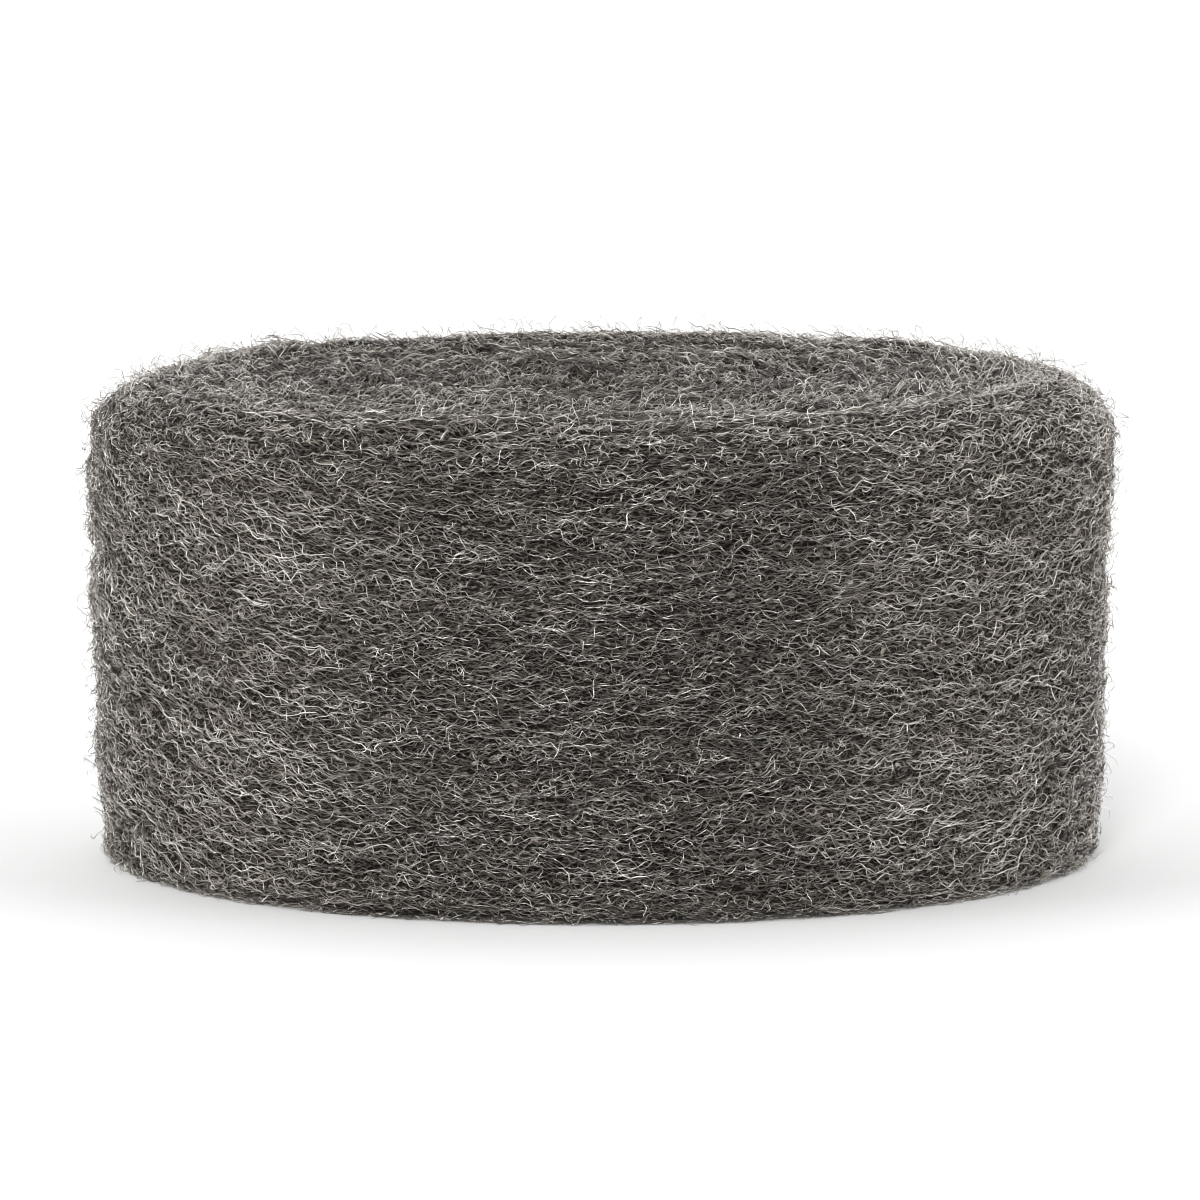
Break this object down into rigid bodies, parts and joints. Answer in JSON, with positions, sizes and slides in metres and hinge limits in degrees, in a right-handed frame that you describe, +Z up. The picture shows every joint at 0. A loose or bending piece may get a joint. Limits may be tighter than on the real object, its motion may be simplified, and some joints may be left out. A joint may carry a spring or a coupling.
{
  "type": "steel wool roll",
  "caption": "Squat roll of steel wool ribbon wound on itself, standing on its end, for rubbing down, polishing and packing.",
  "frame": {"origin": "centre of the flat base, on the surface the roll stands on", "axes": "+Z up along the winding axis, +X to the right of the front view, +Y away from it"},
  "size_m": [0.216, 0.216, 0.102],
  "materials": {
    "steel_wool": "matted fine steel fibre, dull warm grey with bright single fibres"
  },
  "bodies": {
    "root": {"steel_wool_roll": "steel_wool"}
  },
  "joints": []
}
